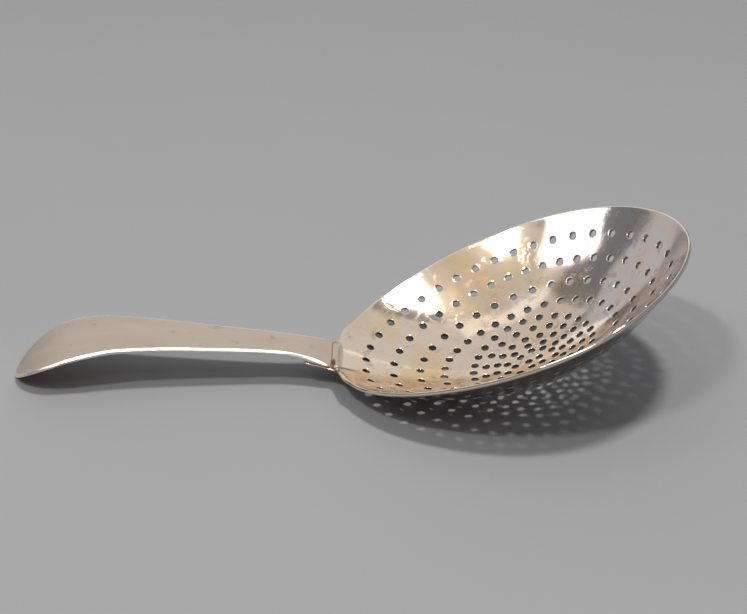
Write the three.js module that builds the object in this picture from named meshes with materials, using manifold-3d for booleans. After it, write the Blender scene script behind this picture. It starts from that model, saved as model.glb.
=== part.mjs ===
// Pierced julep strainer: a raised oval bowl with rings of punched holes, and a flat strap handle
// soldered over a tab of the bowl's sheet.
// Millimetres, +Z up. The strainer lies as it rests: on the bottom of the bowl and the tip of the
// handle. The origin is on the table, under the middle of the whole length, and +X points to the
// bowl's far end.
import * as THREE from 'three';
import { mergeGeometries, mergeVertices } from 'three/addons/utils/BufferGeometryUtils.js';
import Module from 'manifold-3d';

// Bowl: an egg-shaped rim, in one plane but for a slight climb at the neck, and a paraboloid below it.
const BOWL_HALF_LENGTH = 47.5;
const BOWL_HALF_WIDTH = 38.8;
const BOWL_DEPTH = 20.2;
const BOWL_SHEET = 1;
const EGG = 0.1;                       // how much fuller the far half is than the half at the neck
const RIM_PITCH = 22.2 * Math.PI / 180; // the far end of the rim is up
const RIM_CENTRE = new THREE.Vector3(41.9, 0, 23.83);
const WORN_FLAT_X = 26.6;              // the bowl stands on a small flat that wear left under it
const WORN_FLAT_REACH = 12;            // the plane of the table is cut out to here, well past the flat
const RIM_BAND = 0.6;                  // width of the edge that is filed flat in the plane of the rim
const NECK_RISE = 0.35;                // the rim climbs by this much toward the handle,
const SHOULDER_RISE = 0.65;            // and by this much more at its shoulders beside the neck
const RISE_START = 38;                 // the climb starts this far from the middle of the bowl
const SHOULDER_START = 6;              // the shoulders rise between these two distances across
const SHOULDER_TOP = 11;
const FLANK_START = 12;                // and the climb dies out between these two
const FLANK_END = 22;
const BOWL_SEGMENTS = 40;
const BOWL_ROWS = [0, 0.16, 0.3, 0.44, 0.56, 0.68, 0.81, 1]; // shares of the rim, between the hole rings
const EDGE_TOP = 0.5;                  // depth that stands for the outer side of the filed band
const SCALE_ROUNDS = 12;               // steps that it takes to find which copy of the rim a point is on
const SLOPE_STEP = 0.05;               // distance over which the slope of the bowl's floor is taken

// Holes: egg-shaped rings that follow the rim, then round rings about the middle of the bowl.
// scale is a share of the rim, radius is in mm, and turn is in steps between two holes. They were
// set out by eye: crowd draws a ring's holes toward its flanks, and lean toward the neck.
const HOLE_DIAMETER = 2;
const HOLE_SIDES = 6;
const HOLE_TAPER_REACH = 15;           // the sides of a hole would meet this far outside the bowl
const EGG_RINGS = [
  { scale: 0.873, count: 40, turn: 0.62, crowd: 0.07, lean: 0.02 },
  { scale: 0.745, count: 37, turn: 0, crowd: 0.09, lean: -0.05 },
  { scale: 0.616, count: 31, turn: 0.24, crowd: 0.04, lean: -0.02 },
  { scale: 0.496, count: 30, turn: 0.26, crowd: 0.02, lean: 0.02 },
];
const ROUND_RINGS = [
  { radius: 16.3, count: 26, turn: 0.86, crowd: -0.08, lean: -0.02 },
  { radius: 13.3, count: 19, turn: 0.89, crowd: -0.03, lean: -0.12 },
  { radius: 10.4, count: 17, turn: 0.76, crowd: -0.03, lean: -0.03 },
  { radius: 7.8, count: 12, turn: 0.48, crowd: -0.02, lean: -0.09 },
  { radius: 5.5, count: 10, turn: 0.89, crowd: 0.04, lean: -0.11 },
  { radius: 2.1, count: 4, turn: 0.64, crowd: 0, lean: 0 },
];

// Tab: the tongue of the bowl's sheet that runs out under the handle.
const TAB_LENGTH = 7.5;
const TAB_ROOT = 2.5;                  // how far the tab reaches back into the wall of the bowl
const TAB_SLOPE = 0.62;
const TAB_HALF_WIDTH = 5.6;
const TAB_FLARE = 7;                   // it widens by this much where it leaves the wall
const TAB_FLARE_REACH = 2;
const TAB_TOP = 0.3;                   // depth of its upper face under the bowl's inner surface
const TAB_BOTTOM = 0.9;
const TAB_COLUMNS = 8;
const TAB_ROWS = 4;

// Handle: a strap whose side view is a lap, a straight, a low crest and a curl down to the table.
const STRAP = 1.2;
const STRAP_AT_TIP = 0.7;
const LAP_END = new THREE.Vector2(-3.6, 7);
const LAP_START_X = -14;               // from here to its end the underside is parallel to the tab
const NECK_LINE = [[-8.5, 8.65], [-13.5, 9.75], [-18, 10.36]];
const STRAIGHT_START = new THREE.Vector2(-23.6, 10.85);
const STRAIGHT_END = new THREE.Vector2(-41.6, 12);
const CREST_LEAD = 7;                  // the straight's slope carries on this far into the crest
const CREST = new THREE.Vector2(-57, 12.45);
const CURL_HALF_LENGTH = 33.3;          // the curl is the start of an ellipse below the crest
const CURL_HALF_HEIGHT = 20.9;
const TIP_HEIGHT = 0.37;               // of the strap's upper edge over the table, which wears its tip flat
const HALF_WIDTHS = [[-2.6, 7.6], [-8.5, 6.1], [-17, 5.5], [-37, 7], [-57, 9.2], [-66, 11]];
const END_LENGTH = 12.6;               // the rounded end is half an ellipse in plan
const END_HALF_WIDTH = 12.1;
const CUT_SLACK = 0.01;                // keeps the ends of two crossing solids off each other
const CURL_STEPS = 12;
const CREST_STEPS = 4;
const NECK_STEPS = 8;
const OUTLINE_STEPS = 6;

// Solder: a film in the lap, thick where it fills the step at the end of the handle.
const FILM = 0.25;
const FILM_HALF_WIDTH = 5.2;
const FILM_INSET = 1;                  // the film stops this far short of the tab's end
const JOINT_GAP = 0.1;
const LIP_GAP = 0.5;

const wasm = await Module();
wasm.setup();

function solidOf(geometry) {
  const bare = geometry.clone();
  bare.deleteAttribute('normal');
  bare.deleteAttribute('uv');
  const merged = mergeVertices(bare, 1e-4);
  const corners = Array.from(merged.index.array);
  const kept = [];
  for (let i = 0; i < corners.length; i += 3) {
    const [a, b, c] = corners.slice(i, i + 3);
    if (a !== b && b !== c && c !== a) kept.push(a, b, c);
  }
  return new wasm.Manifold(new wasm.Mesh({
    numProp: 3,
    vertProperties: new Float32Array(merged.attributes.position.array),
    triVerts: new Uint32Array(kept),
  }));
}

function geometryOf(solid) {
  const mesh = solid.getMesh();
  const geometry = new THREE.BufferGeometry();
  geometry.setAttribute('position', new THREE.BufferAttribute(mesh.vertProperties, 3));
  geometry.setIndex(new THREE.BufferAttribute(mesh.triVerts, 1));
  geometry.computeVertexNormals();
  return geometry;
}

// Calls place(point) on every vertex, which moves the point to where it belongs.
function reshape(geometry, place) {
  const position = geometry.attributes.position;
  const point = new THREE.Vector3();
  for (let i = 0; i < position.count; i += 1) {
    point.fromBufferAttribute(position, i);
    place(point);
    position.setXYZ(i, point.x, point.y, point.z);
  }
  return geometry;
}

// The bowl's own frame: u to the far end, v across, w up from the plane of the rim.
// The width of the egg at a share c of the half length is that of an ellipse times 1 + EGG c (1 - c^2).
function rimPoint(angle, scale) {
  const c = Math.cos(angle);
  const width = BOWL_HALF_WIDTH * (1 + EGG * c * (1 - c * c));
  return new THREE.Vector2(scale * BOWL_HALF_LENGTH * c, scale * width * Math.sin(angle));
}

// Which scaled copy of the rim passes through a point: found by stepping toward it.
function rimScale(u, v) {
  let scale = Math.hypot(u / BOWL_HALF_LENGTH, v / BOWL_HALF_WIDTH);
  for (let round = 0; round < SCALE_ROUNDS && scale > 0; round += 1) {
    const c = THREE.MathUtils.clamp(u / BOWL_HALF_LENGTH / scale, -1, 1);
    const width = BOWL_HALF_WIDTH * (1 + EGG * c * (1 - c * c));
    scale = (scale + Math.hypot(u / BOWL_HALF_LENGTH, v / width)) / 2;
  }
  return scale;
}

// How far the bowl and its rim climb toward the handle: nothing but near the neck.
function neckRise(u, v) {
  const toNeck = THREE.MathUtils.smoothstep(-u, RISE_START, BOWL_HALF_LENGTH);
  const shoulder = THREE.MathUtils.smoothstep(Math.abs(v), SHOULDER_START, SHOULDER_TOP);
  const flank = THREE.MathUtils.smoothstep(Math.abs(v), FLANK_START, FLANK_END);
  return (NECK_RISE + SHOULDER_RISE * shoulder) * toNeck * (1 - flank);
}

function bowlFloor(u, v) {
  const scale = rimScale(u, v);
  return neckRise(u, v) - BOWL_DEPTH * (1 - scale * scale);
}

// The direction out of the bowl through its wall, from the slope of the floor.
function bowlNormal(u, v) {
  const rise = (du, dv) => bowlFloor(u + du, v + dv) - bowlFloor(u - du, v - dv);
  const slopeU = rise(SLOPE_STEP, 0) / (2 * SLOPE_STEP);
  const slopeV = rise(0, SLOPE_STEP) / (2 * SLOPE_STEP);
  return new THREE.Vector3(slopeU, slopeV, -1).normalize();
}

// A point of the bowl's wall: depth 0 is the inner surface and 1 the outer one.
function wallPoint(u, v, depth) {
  return new THREE.Vector3(u, v, bowlFloor(u, v)).addScaledVector(bowlNormal(u, v), depth * BOWL_SHEET);
}

// The edge of the wall: depth 0 and EDGE_TOP are the two sides of the band that is filed flat, and
// depth 1 is under its outer side, on the outer surface of the wall.
function rimEdge(u, v, depth) {
  const outward = bowlNormal(u, v);
  const upright = -outward.z;
  const across = outward.setZ(0).normalize();
  const slope = Math.sqrt(1 - upright * upright) / upright;
  const under = depth > EDGE_TOP ? BOWL_SHEET / upright - slope * RIM_BAND : 0;
  const out = depth > 0 ? RIM_BAND : 0;
  return new THREE.Vector3(u, v, neckRise(u, v) - under).addScaledVector(across, out);
}

// A turned disc with an inner and an outer face, carried onto the two surfaces of the bowl. Its last
// row has the scale of the rim, to within rounding.
function bowlShell() {
  const outer = BOWL_ROWS.map((scale) => new THREE.Vector2(scale, 1));
  const inner = BOWL_ROWS.map((scale) => new THREE.Vector2(scale, 0));
  const edge = new THREE.Vector2(BOWL_ROWS[BOWL_ROWS.length - 1], EDGE_TOP);
  const disc = new THREE.LatheGeometry([...outer, edge, ...inner.reverse()], BOWL_SEGMENTS);
  return reshape(disc, (point) => {
    const scale = Math.hypot(point.x, point.z);
    const flat = rimPoint(Math.atan2(point.x, point.z), scale);
    const place = scale > BOWL_ROWS[BOWL_ROWS.length - 1] - CUT_SLACK ? rimEdge : wallPoint;
    point.copy(place(flat.x, flat.y, point.y));
  });
}

function tabHalfWidth(reach) {
  return TAB_HALF_WIDTH + TAB_FLARE * Math.exp(-(reach + TAB_ROOT) / TAB_FLARE_REACH);
}

// The tab leaves the wall at the neck on a straight slope. reach is measured out from the rim.
function tabPoint(reach, v, depth) {
  const u = -BOWL_HALF_LENGTH - reach;
  if (rimScale(u, v) < 1) return wallPoint(u, v, depth);
  const height = neckRise(u, v) + TAB_SLOPE * Math.max(reach, 0);
  return new THREE.Vector3(u, v, height - depth * BOWL_SHEET);
}

function bowlTab() {
  const blank = new THREE.BoxGeometry(1, 2, 1, TAB_COLUMNS, TAB_ROWS, 1);
  return reshape(blank, (point) => {
    const reach = THREE.MathUtils.lerp(TAB_LENGTH, -TAB_ROOT, point.x + 0.5);
    const depth = THREE.MathUtils.lerp(TAB_BOTTOM, TAB_TOP, point.z + 0.5);
    point.copy(tabPoint(reach, point.y * tabHalfWidth(reach), depth));
  });
}

function holeCentres() {
  const ringAngles = ({ count, turn, crowd, lean }) => Array.from({ length: count }, (_, i) => {
    const even = 2 * Math.PI * (i + turn) / count;
    return even + crowd * Math.sin(2 * even) + lean * Math.sin(even);
  });
  const round = (angle, radius) => new THREE.Vector2(radius * Math.cos(angle), radius * Math.sin(angle));
  return [
    ...EGG_RINGS.flatMap((ring) => ringAngles(ring).map((angle) => rimPoint(angle, ring.scale))),
    ...ROUND_RINGS.flatMap((ring) => ringAngles(ring).map((angle) => round(angle, ring.radius))),
  ];
}

// One round punch square to the wall: a slim cone that starts a little inside the bowl.
function punch(centre) {
  const start = 2 * BOWL_SHEET;
  const length = HOLE_TAPER_REACH + start;
  const radius = HOLE_DIAMETER / 2 * length / HOLE_TAPER_REACH;
  const outward = bowlNormal(centre.x, centre.y);
  const turn = new THREE.Quaternion().setFromUnitVectors(new THREE.Vector3(0, 1, 0), outward);
  const middle = wallPoint(centre.x, centre.y, 0).addScaledVector(outward, length / 2 - start);
  const cutter = new THREE.ConeGeometry(radius, length, HOLE_SIDES).applyQuaternion(turn);
  return cutter.translate(middle.x, middle.y, middle.z);
}

// The table under the bowl, in the bowl's own frame: what it cuts away is the worn flat.
function wornAway() {
  const reach = WORN_FLAT_REACH;
  const table = new THREE.BoxGeometry(2 * reach, 2 * reach, reach);
  table.translate(WORN_FLAT_X - RIM_CENTRE.x, 0, -reach / 2 - RIM_CENTRE.z);
  return table.rotateY(RIM_PITCH);
}

function makeBowl() {
  const sheet = solidOf(bowlShell()).add(solidOf(bowlTab()));
  const punches = solidOf(mergeGeometries(holeCentres().map(punch)));
  return geometryOf(sheet.subtract(solidOf(wornAway())).subtract(punches));
}

// From the bowl's frame to the object's, in the plane y = 0.
function toTable(u, w) {
  const x = RIM_CENTRE.x + u * Math.cos(RIM_PITCH) - w * Math.sin(RIM_PITCH);
  const z = RIM_CENTRE.z + u * Math.sin(RIM_PITCH) + w * Math.cos(RIM_PITCH);
  return new THREE.Vector2(x, z);
}

// Height over the table of a plane parallel to the tab, a given distance above it.
function overTab(x, above) {
  const near = tabPoint(0, 0, TAB_TOP);
  const far = tabPoint(TAB_LENGTH, 0, TAB_TOP);
  const start = toTable(near.x, near.z + above);
  const end = toTable(far.x, far.z + above);
  return start.y + (x - start.x) * (end.y - start.y) / (end.x - start.x);
}

// A solid as wide as the strainer whose side view is the outline.
function acrossStrap(outline, halfWidth) {
  const options = { depth: 2 * halfWidth, bevelEnabled: false, steps: 1 };
  const solid = new THREE.ExtrudeGeometry(new THREE.Shape(outline), options);
  return solid.rotateX(Math.PI / 2).translate(0, halfWidth, 0);
}

// The top line of the strap in side view, from the bowl to the tip.
function strapLine() {
  const neckPoints = NECK_LINE.map(([x, z]) => new THREE.Vector2(x, z));
  const neck = new THREE.SplineCurve([LAP_END, ...neckPoints, STRAIGHT_START]);
  const crestControl = new THREE.Vector2(STRAIGHT_END.x - CREST_LEAD, CREST.y);
  const crest = new THREE.QuadraticBezierCurve(STRAIGHT_END, crestControl, CREST);
  const curlAngle = Math.acos(1 - (CREST.y - TIP_HEIGHT) / CURL_HALF_HEIGHT);
  const curl = new THREE.EllipseCurve(CREST.x, CREST.y - CURL_HALF_HEIGHT, CURL_HALF_LENGTH,
    CURL_HALF_HEIGHT, Math.PI / 2, Math.PI / 2 + curlAngle, false);
  return [
    ...neck.getPoints(NECK_STEPS),
    ...crest.getPoints(CREST_STEPS),
    ...curl.getPoints(CURL_STEPS).slice(1),
  ];
}

// The strap's underside: its thickness below the top line, and parallel to the tab over the lap.
function strapUnderside(top) {
  const tip = top[top.length - 1];
  return top.map((point, i) => {
    const before = top[Math.max(i - 1, 0)];
    const after = top[Math.min(i + 1, top.length - 1)];
    const down = new THREE.Vector2(before.y - after.y, after.x - before.x).normalize();
    const thinning = THREE.MathUtils.smoothstep(point.x, tip.x, CREST.x);
    const thickness = THREE.MathUtils.lerp(STRAP_AT_TIP, STRAP, thinning);
    const under = point.clone().addScaledVector(down, thickness);
    const lap = overTab(point.x, FILM + 2 * JOINT_GAP);
    return point.x > LAP_START_X ? new THREE.Vector2(point.x, lap) : under;
  });
}

// The strap in plan: flared at the neck, narrowest behind it, widest before the rounded end.
function strapPlan(tipX) {
  const endX = tipX + END_LENGTH;
  const flank = [...HALF_WIDTHS, [endX, END_HALF_WIDTH]].map(([x, y]) => new THREE.Vector2(x, y));
  const far = flank.map((point) => new THREE.Vector2(point.x, -point.y)).reverse();
  const plan = new THREE.Shape();
  plan.moveTo(flank[0].x, flank[0].y);
  plan.splineThru(flank.slice(1));
  plan.absellipse(endX, 0, END_LENGTH + CUT_SLACK, END_HALF_WIDTH, Math.PI / 2, 3 * Math.PI / 2, false);
  plan.splineThru(far.slice(1));
  return plan;
}

// The side view and the plan cross. The plan stands on the table, so it cuts the worn flat at the tip.
function makeHandle() {
  const top = strapLine();
  const underside = strapUnderside(top);
  const side = acrossStrap([...top, ...underside.reverse()], END_HALF_WIDTH + CUT_SLACK);
  const options = { depth: CREST.y + STRAP, bevelEnabled: false, curveSegments: OUTLINE_STEPS };
  const plan = new THREE.ExtrudeGeometry(strapPlan(top[top.length - 1].x), options);
  return geometryOf(solidOf(side).intersect(solidOf(plan)));
}

// The film fills the lap, and its thick end fills the step from the handle's end to the bowl's lip.
function makeSolder() {
  const tabEnd = tabPoint(TAB_LENGTH, 0, 0);
  const lapStart = toTable(tabEnd.x, tabEnd.z).x + FILM_INSET;
  const lip = toTable(-BOWL_HALF_LENGTH, NECK_RISE);
  const handleEnd = LAP_END.x + JOINT_GAP;
  const lipEnd = lip.x - LIP_GAP;
  const side = [
    new THREE.Vector2(lapStart, overTab(lapStart, JOINT_GAP)),
    new THREE.Vector2(lipEnd, overTab(lipEnd, JOINT_GAP)),
    new THREE.Vector2(lipEnd, lip.y),
    new THREE.Vector2(handleEnd, LAP_END.y - JOINT_GAP),
    new THREE.Vector2(handleEnd, overTab(handleEnd, FILM + JOINT_GAP)),
    new THREE.Vector2(lapStart, overTab(lapStart, FILM + JOINT_GAP)),
  ];
  return acrossStrap(side, FILM_HALF_WIDTH);
}

function finish(color, roughness) {
  return new THREE.MeshStandardMaterial({ color, roughness, metalness: 1 });
}

function part(name, geometry, material) {
  const mesh = new THREE.Mesh(geometry, material);
  mesh.name = name;
  return mesh;
}

const group = new THREE.Group();
const bowlFrame = new THREE.Group();
bowlFrame.position.copy(RIM_CENTRE);
bowlFrame.rotation.y = -RIM_PITCH;
bowlFrame.add(part('bowl', makeBowl(), finish('#bfb39f', 0.3)));
group.add(bowlFrame);
group.add(part('handle', makeHandle(), finish('#b3a594', 0.38)));
group.add(part('solder_seam', makeSolder(), finish('#8a705c', 0.5)));

export default group;
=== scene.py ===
import math
from functools import partial

import bpy
import numpy as np
from mathutils import Matrix, Vector
from mathutils.geometry import delaunay_2d_cdt


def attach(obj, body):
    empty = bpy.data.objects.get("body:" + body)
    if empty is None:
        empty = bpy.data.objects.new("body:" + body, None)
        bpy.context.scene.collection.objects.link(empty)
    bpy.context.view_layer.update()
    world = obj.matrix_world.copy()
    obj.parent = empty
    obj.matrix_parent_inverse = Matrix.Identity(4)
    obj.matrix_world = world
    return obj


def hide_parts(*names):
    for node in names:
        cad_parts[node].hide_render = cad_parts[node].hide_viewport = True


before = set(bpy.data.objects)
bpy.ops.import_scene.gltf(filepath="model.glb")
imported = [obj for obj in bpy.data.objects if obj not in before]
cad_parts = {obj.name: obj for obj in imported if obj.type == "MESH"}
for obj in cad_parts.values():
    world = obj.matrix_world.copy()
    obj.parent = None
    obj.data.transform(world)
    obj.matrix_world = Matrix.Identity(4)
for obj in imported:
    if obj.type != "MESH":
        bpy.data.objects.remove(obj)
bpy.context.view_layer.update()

bl_info = {
    "name": "Pierced julep strainer",
    "version": (1, 0, 0),
    "blender": (4, 5, 0),
    "location": "View3D > Sidebar > Strainer",
    "description": "Builds a pierced silver julep strainer, its finishes, a plain table and lights",
    "category": "Add Mesh",
}

MM = 0.001

# Bowl's own frame: u to the far end, v across, w up from the plane of the rim. The frame is
# pitched up at the far end and its middle stands at RIM_CENTRE over the table.
RIM_PITCH = math.radians(22.2)
RIM_CENTRE = (41.9 * MM, 0.0, 23.83 * MM)
EGG = 0.1                       # how much fuller the far half of the rim is than the near half
RIM_OUT = 1.0055                # the filed band of the rim ends at this copy of the rim
NECK_RISE = 0.35 * MM           # the rim climbs by this much toward the handle,
SHOULDER_RISE = 0.65 * MM       # and by this much more at its shoulders beside the neck
SHOULDERS = (6 * MM, 11 * MM)   # the shoulders' climb, outward from the middle line
FLANKS = (12 * MM, 22 * MM)     # where the climb dies out again
RISE_START = 38 * MM            # the climb starts this far before the middle of the rim
RIM_ROWS = (1.005, 1.004, 1.0026, 1.0012, 1.0, 0.9975, 0.994, 0.987, 0.976, 0.962, 0.945,
            0.928)              # the copies of the rim that carry rows of points
RIM_STEPS = 360
PUNCH_FADE = (0.93, 1.0)        # between these copies, through turns from square to upright
CREASE = 0.12 * MM              # rounding where two faces of the sheet meet
THINNEST = 0.2 * MM
WORN_FLAT_Z = 0.02 * MM         # the bowl is worn flat this close to the table
RIM_WEAR_AND_HIGHLIGHT = (0.9995, 1.002)    # the rim is rubbed bright, and given a painted highlight, between these copies of it,
RIM_WEAR_AND_HIGHLIGHT_FROM = (1 * MM, 9 * MM)  # setting in over this much of its length from the neck

# Holes, as rings (share of the rim or radius in mm, count, turn, crowd, lean).
EGG_RINGS = (
    (0.873, 40, 0.62, 0.07, 0.02),
    (0.745, 37, 0.0, 0.09, -0.05),
    (0.616, 31, 0.24, 0.04, -0.02),
    (0.496, 30, 0.26, 0.02, 0.02),
)
ROUND_RINGS = (
    (16.3, 26, 0.86, -0.08, -0.02),
    (13.3, 19, 0.89, -0.03, -0.12),
    (10.4, 17, 0.76, -0.03, -0.03),
    (7.8, 12, 0.48, -0.02, -0.09),
    (5.5, 10, 0.89, 0.04, -0.11),
    (2.1, 4, 0.64, 0.0, 0.0),
)
HOLE_STEPS = 16
LIP_ROWS = (0.0, 0.22, 0.5, 1.0)   # shares of the lip's rounding, outward from the hole
OUTER_ROW = 2.2                 # the row around a lip stands this many lips from the hole,
GRID_ROOM = 3.2                 # and the even grid this many
BOWL_GRID = 1.25 * MM
GRID_END = 0.918                # the even grid ends at this copy of the rim
NEAR_TAB = 0.93                 # past this share of the half length the sheet is the tab's
TAB_ROOM = 0.9 * MM
ROW_ROOM = 0.35 * MM

# Tab of the bowl's sheet, under the handle.
TAB_LENGTH = 7.5 * MM
TAB_ROOT = 2.5 * MM
TAB_SLOPE = 0.62
TAB_HALF_WIDTH = 5.6 * MM
TAB_FLARE = 7 * MM
TAB_FLARE_REACH = 2 * MM
TAB_TOP = 0.3 * MM
TAB_BOTTOM = 0.9 * MM
TAB_CORNER = 2 * MM
TAB_GROWTH = (-6 * MM, -2 * MM)     # the tab's width grows over this stretch before the rim's end,
TAB_UNDER = (-1.5 * MM, 0.4 * MM)   # and its under face takes over from the bowl's here
OUT_OF_REACH = 0.5                  # a height that the softened least never picks
FILLET_POWER = 6                # how tightly the rim turns into the tab

# Handle: the top line in side view and the half width in plan.
LAP_END = (-3.6, 7.0)
NECK_LINE = ((-8.5, 8.65), (-13.5, 9.75), (-18.0, 10.36))
STRAIGHT_START = (-23.6, 10.85)
STRAIGHT_END = (-41.6, 12.0)
CREST_LEAD = 7.0
CREST = (-57.0, 12.45)
CURL_HALF_LENGTH = 33.3
CURL_HALF_HEIGHT = 20.9
TIP_HEIGHT = 0.37
LAP_STARTS = (-16.5 * MM, -12.5 * MM)   # the under face turns parallel to the tab over this
LAP_GAP = 0.45 * MM
HALF_WIDTHS = ((-2.6, 7.6), (-8.5, 6.1), (-17.0, 5.5), (-37.0, 7.0), (-57.0, 9.2), (-66.0, 11.0))
END_LENGTH = 12.6
END_HALF_WIDTH = 12.1
STRAP_AT_TIP = 0.7 * MM
HANDLE_INSET = 0.5 * MM         # the flat faces stop this far inside the rounded edge
HANDLE_ROWS = (0.1, 0.28, 0.6, 1.1)
HANDLE_GRID = 1.1 * MM
HANDLE_STEPS = 420
LAP_CORNER = 0.9 * MM
STRAP_STEP = 0.3 * MM           # step of the strap's slopes
STRAP_FLAT_Z = 0.03 * MM        # the tip is worn flat this close to the table
STRAP_GRID_ROOM = 1.7 * MM
WEAR_AND_HIGHLIGHT_DEPTH = 0.25 * MM           # how fast the rubbing and its painted highlight fade from the strap's edge
WEAR_AND_HIGHLIGHT_ENDS = (-2.5 * MM, -1 * MM)     # the rubbing and its painted highlight stop over this stretch before the lap's end,
BLUNT_ENDS = (-1.2 * MM, -0.3 * MM)  # and the edge's roundness shrinks over this one
BLUNT_SHARE = 0.85

# Sections of an edge, from the upper face to the under face: (share out, share up).
ROUND_EDGE = ((0.45, 0.92), (0.8, 0.7), (0.98, 0.3), (1.0, -0.1), (0.9, -0.6), (0.6, -0.9))
FILED_EDGE = ((0.05, 0.985), (0.14, 0.91), (0.5, 0.55), (0.88, 0.17), (0.97, 0.05), (1.0, -0.1),
              (1.0, -0.6), (0.93, -0.85), (0.72, -0.98))
RIM_EDGE = ((0.06, 0.99), (0.16, 0.94), (0.84, 0.5), (0.97, 0.38), (1.0, 0.22), (1.0, -0.35),
            (0.9, -0.6))
RIM_BULGE = 0.3 * MM
SOLDER_BULGE = 0.08 * MM

# Limits of the flat triangulation.
CDT_SNAP = 1e-7                 # points closer than this, in millimetres, are one
SLIVER = 1e-14                  # twice the area of the smallest triangle kept, in square metres

# Golden patch of the bowl: partly toning, partly a painted warm reflection.
GOLD_REFLECTION_PLACE = (38 * MM, 33 * MM, 17 * MM)
GOLD_REFLECTION_REACH = (24 * MM, 18 * MM, 14 * MM)

# Solder.
SOLDER_FILM = 0.25 * MM
JOINT_GAP = 0.1 * MM
LIP_GAP = 0.5 * MM
SOLDER_INSET = 0.12 * MM
SOLDER_HALF_WIDTH = 5.2 * MM
SOLDER_SINK = 0.15 * MM         # the bead's under face past the lip stands this deep in the wall
SOLDER_GRID = 0.35 * MM
SOLDER_GRID_ROOM = 0.2 * MM
SOLDER_STEPS = 160
SEAM_REACH = 1.6 * MM           # how far the bead melts out over the bowl's wall
SEAM_X = -3.55 * MM             # the seam shows along the end of the strap
PIT_PLACE = (-3.0 * MM, -4.7 * MM, 6.6 * MM)
PIT_REACH = (0.9 * MM, 3.2 * MM, 2.0 * MM)


# ---------------- shared shape functions

def smooth(value, low, high):
    """Zero below low, one above high, and 3t^2 - 2t^3 between."""
    t = np.clip((value - low) / (high - low), 0, 1)
    return t * t * (3 - 2 * t)


def soft_least(a, b, width):
    """The lesser of a and b, rounded over about width where they cross: half of a + b less
    the root of (a - b)^2 + width^2."""
    return 0.5 * (a + b - np.sqrt((a - b) ** 2 + width ** 2))


def rim_width(size, c):
    """Half width of the rim at an angle of cosine c: the ellipse's times 1 + EGG c (1 - c^2)."""
    return size.half_width * (1 + EGG * c * (1 - c * c))


def rim_point(size, angle, scale):
    """(u, v) on a scaled copy of the rim."""
    c = np.cos(angle)
    return np.stack([scale * size.half_length * c, scale * rim_width(size, c) * np.sin(angle)], -1)


def rim_scale(size, p):
    """Which scaled copy of the rim passes through each point, found by stepping toward it."""
    u, v = p[..., 0] / size.half_length, p[..., 1]
    scale = np.hypot(u, v / size.half_width)
    for _ in range(16):
        c = np.clip(u / np.maximum(scale, 1e-9), -1, 1)
        scale = (scale + np.hypot(u, v / rim_width(size, c))) / 2
    return scale


def neck_rise(size, p):
    """How far the bowl and its rim climb toward the handle: nothing but near the neck."""
    aside = np.abs(p[..., 1])
    climb = NECK_RISE + SHOULDER_RISE * smooth(aside, *SHOULDERS)
    return climb * smooth(-p[..., 0], RISE_START, size.half_length) * (1 - smooth(aside, *FLANKS))


def bowl_floor(size, p):
    """Height of the bowl's inner surface: the neck's rise less the depth times 1 - scale^2."""
    return neck_rise(size, p) - size.depth * (1 - rim_scale(size, p) ** 2)


def slope_of(height, p, step=0.04 * MM):
    """Slope of a height over (u, v) along u and along v, by central differences."""
    du, dv = np.array([step, 0.0]), np.array([0.0, step])
    along = [(height(p + d) - height(p - d)) / (2 * step) for d in (du, dv)]
    return np.stack(along, -1)


def tab_plane(p, size):
    """Height of the tab's upper face, which melts into the plane of the rim."""
    rise = TAB_SLOPE * (-p[..., 0] - size.half_length) - TAB_TOP
    return neck_rise(size, p) - soft_least(-rise, 0.0 * rise, CREASE)


def bowl_sheet(size, p, drop, under):
    """A point of the bowl's sheet. The inner surface is the bowl's floor, cut by the filed plane
    of the rim and the tab's plane. The outer one lies one sheet below it, square to the wall,
    and upright near the rim. drop sinks either surface into the sheet around a hole's lip."""
    floor = partial(bowl_floor, size)
    depth = np.where(under, size.sheet - drop, drop)
    slope = slope_of(floor, p)
    root = np.sqrt(1 + (slope ** 2).sum(-1))
    fade = 1 - smooth(rim_scale(size, p), *PUNCH_FADE)
    q = p + slope / root[..., None] * (depth * fade)[..., None]
    slope = slope_of(floor, q)
    sunk = floor(q) - depth * np.sqrt(1 + (slope ** 2).sum(-1))
    top = soft_least(floor(q), tab_plane(q, size), CREASE)
    if not under:
        w = np.where(drop > 0, sunk, top)
    else:
        reach = -q[..., 0] - size.half_length
        tab_under = neck_rise(size, q) + TAB_SLOPE * np.maximum(reach, 0) - TAB_BOTTOM
        mask = smooth(reach, *TAB_UNDER)
        w = soft_least(sunk, OUT_OF_REACH * (1 - mask) + tab_under * mask, CREASE)
        w = np.minimum(w, top - THINNEST)
    table = to_table(np.concatenate([q, w[..., None]], -1))
    table[..., 2] = np.maximum(table[..., 2], WORN_FLAT_Z)
    return table


def to_table(p):
    """From the bowl's frame to the object's: pitched up at the far end, then moved."""
    cos, sin = math.cos(RIM_PITCH), math.sin(RIM_PITCH)
    x = RIM_CENTRE[0] + p[..., 0] * cos - p[..., 2] * sin
    z = RIM_CENTRE[2] + p[..., 0] * sin + p[..., 2] * cos
    return np.stack([x, p[..., 1], z], -1)


def over_tab(size, x, above):
    """Height over the table of a plane parallel to the tab, a given distance above its face."""
    base = NECK_RISE + above - TAB_TOP
    near = to_table(np.array([-size.half_length, 0, base]))
    far = to_table(np.array([-size.half_length - TAB_LENGTH, 0, base + TAB_SLOPE * TAB_LENGTH]))
    return near[2] + (x - near[0]) * (far[2] - near[2]) / (far[0] - near[0])


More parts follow.
